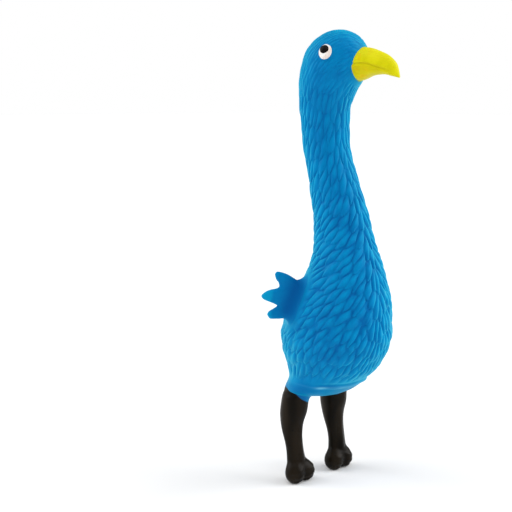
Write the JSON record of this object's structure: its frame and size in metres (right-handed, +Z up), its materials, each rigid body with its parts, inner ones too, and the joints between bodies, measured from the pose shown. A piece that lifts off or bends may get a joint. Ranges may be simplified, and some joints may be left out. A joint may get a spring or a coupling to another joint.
{
  "type": "squeaky latex bird toy",
  "caption": "Hollow latex squeaky toy: a long-necked bird with a pear-shaped feathered body, small fan wings, hooked beak and thin black legs.",
  "frame": {"origin": "on the floor under the middle of the toy's outline, 20.9 mm ahead of the line between its ankles", "axes": "+Z up along the neck; the bird faces -Y; +X is the bird's own left side"},
  "size_m": [0.1132, 0.0914, 0.3472],
  "materials": {
    "blue_latex": "satin",
    "black_latex": "satin",
    "yellow_latex": "satin",
    "eye_white": "satin",
    "eye_black": "gloss",
    "white_plastic": "satin",
    "reed_plastic": "satin"
  },
  "bodies": {
    "torso": {"torso_shell": "blue_latex", "leg_top_left": "black_latex", "leg_top_right": "black_latex", "squeaker_housing": "white_plastic", "squeaker_tone_plate": "white_plastic", "squeaker_grille": "white_plastic"},
    "neck_1": {"neck_shell_1": "blue_latex"},
    "neck_2": {"neck_shell_2": "blue_latex"},
    "neck_3": {"neck_shell_3": "blue_latex"},
    "neck_4": {"neck_shell_4": "blue_latex"},
    "head": {"head_shell": "blue_latex", "beak": "yellow_latex", "eye_white_left": "eye_white", "eye_white_right": "eye_white", "pupil_left": "eye_black", "pupil_right": "eye_black"},
    "wing_left": {"wing_left": "blue_latex"},
    "wing_right": {"wing_right": "blue_latex"},
    "thigh_left": {"thigh_left": "black_latex"},
    "shin_left": {"shin_left": "black_latex"},
    "foot_left": {"foot_left": "black_latex"},
    "thigh_right": {"thigh_right": "black_latex"},
    "shin_right": {"shin_right": "black_latex"},
    "foot_right": {"foot_right": "black_latex"},
    "reed": {"squeaker_reed": "reed_plastic"}
  },
  "joints": [
    {"name": "neck_base_bend", "type": "hinge", "parent": "torso", "child": "neck_1", "pos_m": [0, -0.0076, 0.175], "axis": [1, 0, 0], "range_deg": [-25, 25], "stiffness_Nm_per_rad": 0.4},
    {"name": "neck_low_sway", "type": "hinge", "parent": "neck_1", "child": "neck_2", "pos_m": [0, -0.0026, 0.205], "axis": [0, 1, 0], "range_deg": [-25, 25], "stiffness_Nm_per_rad": 0.35},
    {"name": "neck_middle_bend", "type": "hinge", "parent": "neck_2", "child": "neck_3", "pos_m": [0, 0.0063, 0.234], "axis": [1, 0, 0], "range_deg": [-25, 25], "stiffness_Nm_per_rad": 0.3},
    {"name": "neck_twist", "type": "hinge", "parent": "neck_3", "child": "neck_4", "pos_m": [0, 0.0139, 0.262], "axis": [0, 0.0464, 0.9989], "range_deg": [-30, 30], "stiffness_Nm_per_rad": 0.3},
    {"name": "head_nod", "type": "hinge", "parent": "neck_4", "child": "head", "pos_m": [0, 0.0152, 0.29], "axis": [1, 0, 0], "range_deg": [-25, 25], "stiffness_Nm_per_rad": 0.25},
    {"name": "wing_flap_left", "type": "hinge", "parent": "torso", "child": "wing_left", "pos_m": [0.03505, 0.01504, 0.147], "axis": [-0.337, -0.1792, 0.9243], "range_deg": [-30, 30], "stiffness_Nm_per_rad": 0.03},
    {"name": "hip_swing_left", "type": "hinge", "parent": "torso", "child": "thigh_left", "pos_m": [0.0215, 0.0239, 0.06], "axis": [1, 0, 0], "range_deg": [-35, 35], "stiffness_Nm_per_rad": 0.3},
    {"name": "knee_bend_left", "type": "hinge", "parent": "thigh_left", "child": "shin_left", "pos_m": [0.022, 0.0251, 0.042], "axis": [1, 0, 0], "range_deg": [-40, 40], "stiffness_Nm_per_rad": 0.25},
    {"name": "ankle_bend_left", "type": "hinge", "parent": "shin_left", "child": "foot_left", "pos_m": [0.0225, 0.0212, 0.019], "axis": [1, 0, 0], "range_deg": [-30, 30], "stiffness_Nm_per_rad": 0.2},
    {"name": "wing_flap_right", "type": "hinge", "parent": "torso", "child": "wing_right", "pos_m": [-0.03505, 0.01504, 0.147], "axis": [0.337, -0.1792, 0.9243], "range_deg": [-30, 30], "stiffness_Nm_per_rad": 0.03},
    {"name": "hip_swing_right", "type": "hinge", "parent": "torso", "child": "thigh_right", "pos_m": [-0.0215, 0.0239, 0.06], "axis": [1, 0, 0], "range_deg": [-35, 35], "stiffness_Nm_per_rad": 0.3},
    {"name": "knee_bend_right", "type": "hinge", "parent": "thigh_right", "child": "shin_right", "pos_m": [-0.022, 0.0251, 0.042], "axis": [1, 0, 0], "range_deg": [-40, 40], "stiffness_Nm_per_rad": 0.25},
    {"name": "ankle_bend_right", "type": "hinge", "parent": "shin_right", "child": "foot_right", "pos_m": [-0.0225, 0.0212, 0.019], "axis": [1, 0, 0], "range_deg": [-30, 30], "stiffness_Nm_per_rad": 0.2},
    {"name": "reed_flutter", "type": "hinge", "parent": "torso", "child": "reed", "pos_m": [0, 0.02215, 0.07702], "axis": [1, 0, 0], "range_deg": [-8, 8], "stiffness_Nm_per_rad": 0.00004}
  ]
}
